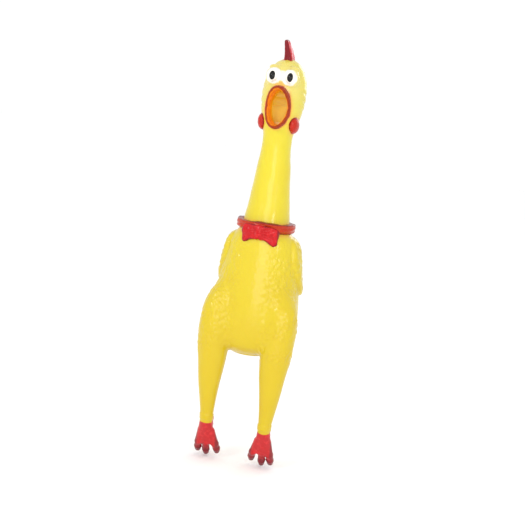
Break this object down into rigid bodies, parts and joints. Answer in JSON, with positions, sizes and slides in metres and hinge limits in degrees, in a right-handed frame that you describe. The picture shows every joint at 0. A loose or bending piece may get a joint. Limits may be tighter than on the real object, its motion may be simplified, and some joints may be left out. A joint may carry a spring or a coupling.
{
  "type": "rubber chicken",
  "caption": "Hollow soft vinyl squeeze toy shaped as a plucked chicken with an open beak, comb, bow collar, dangling legs and a reed squawker in its throat.",
  "frame": {"origin": "middle of the body, where a hand squeezes it", "axes": "+Z from the feet to the comb, -Y out of the face and the breast, +X to the chicken's left"},
  "size_m": [0.0708, 0.0631, 0.3102],
  "materials": {
    "yellow_vinyl": "semi-gloss soft PVC",
    "red_paint": "glossy paint on soft PVC",
    "mouth_lining": "satin soft PVC",
    "eye_white": "glossy paint on soft PVC",
    "pupil_black": "glossy paint on soft PVC",
    "squawker_plastic": "natural moulded plastic",
    "reed_film": "thin polyester film"
  },
  "bodies": {
    "torso": {"torso_skin": "yellow_vinyl", "wing_left": "yellow_vinyl", "wing_right": "yellow_vinyl", "collar_band": "red_paint", "bow_knot": "red_paint", "bow_left": "red_paint", "bow_right": "red_paint", "neck_root_fold": "yellow_vinyl", "hip_fold_left": "yellow_vinyl", "hip_fold_right": "yellow_vinyl"},
    "back": {"back_panel": "yellow_vinyl", "tail": "yellow_vinyl"},
    "neck_lower": {"neck_lower_skin": "yellow_vinyl", "neck_middle_fold": "yellow_vinyl"},
    "neck_upper": {"neck_upper_skin": "yellow_vinyl", "neck_top_fold": "yellow_vinyl"},
    "head": {"head_skin": "yellow_vinyl", "comb": "red_paint", "beak_upper": "red_paint", "beak_lower": "red_paint", "mouth_pocket": "mouth_lining", "eye_left": "eye_white", "eye_right": "eye_white", "pupil_left": "pupil_black", "pupil_right": "pupil_black", "earlobe_left": "red_paint", "earlobe_right": "red_paint", "squawker_barrel": "squawker_plastic", "reed_block": "squawker_plastic", "reed_wedge": "squawker_plastic"},
    "reed": {"reed_tongue": "reed_film"},
    "leg_left": {"leg_skin_left": "yellow_vinyl", "ankle_fold_left": "yellow_vinyl"},
    "leg_right": {"leg_skin_right": "yellow_vinyl", "ankle_fold_right": "yellow_vinyl"},
    "foot_left": {"foot_left": "red_paint"},
    "foot_right": {"foot_right": "red_paint"}
  },
  "joints": [
    {"name": "neck_nod", "type": "hinge", "parent": "torso", "child": "neck_lower", "pos_m": [0, 0, 0.06125], "axis": [1, 0, 0], "range_deg": [-30, 35], "stiffness_Nm_per_rad": 0.15, "deforming": ["neck_root_fold"]},
    {"name": "neck_sway", "type": "hinge", "parent": "neck_lower", "child": "neck_upper", "pos_m": [0, -0.0004, 0.0785], "axis": [0, 1, 0], "range_deg": [-30, 30], "stiffness_Nm_per_rad": 0.12, "deforming": ["neck_middle_fold"]},
    {"name": "head_nod", "type": "hinge", "parent": "neck_upper", "child": "head", "pos_m": [0, -0.0015, 0.098], "axis": [1, 0, 0], "range_deg": [-30, 30], "stiffness_Nm_per_rad": 0.1, "deforming": ["neck_top_fold"]},
    {"name": "reed_flap", "type": "hinge", "parent": "head", "child": "reed", "pos_m": [0, -0.0031, 0.1212], "axis": [1, 0, 0], "range_deg": [0, 4], "stiffness_Nm_per_rad": 0.00006},
    {"name": "back_squeeze", "type": "slide", "parent": "torso", "child": "back", "axis": [0, -1, 0], "range_m": [0, 0.014], "stiffness_N_per_m": 150},
    {"name": "hip_left", "type": "hinge", "parent": "torso", "child": "leg_left", "pos_m": [0.0229, -0.0149, -0.0475], "axis": [1, 0, 0], "range_deg": [-45, 45], "stiffness_Nm_per_rad": 0.05, "deforming": ["hip_fold_left"]},
    {"name": "hip_right", "type": "hinge", "parent": "torso", "child": "leg_right", "pos_m": [-0.0229, -0.0149, -0.0475], "axis": [1, 0, 0], "range_deg": [-45, 45], "stiffness_Nm_per_rad": 0.05, "deforming": ["hip_fold_right"]},
    {"name": "ankle_left", "type": "hinge", "parent": "leg_left", "child": "foot_left", "pos_m": [0.0221, -0.0118, -0.0895], "axis": [1, 0, 0], "range_deg": [-35, 35], "stiffness_Nm_per_rad": 0.01, "deforming": ["ankle_fold_left"]},
    {"name": "ankle_right", "type": "hinge", "parent": "leg_right", "child": "foot_right", "pos_m": [-0.0221, -0.0118, -0.0895], "axis": [1, 0, 0], "range_deg": [-35, 35], "stiffness_Nm_per_rad": 0.01, "deforming": ["ankle_fold_right"]}
  ]
}
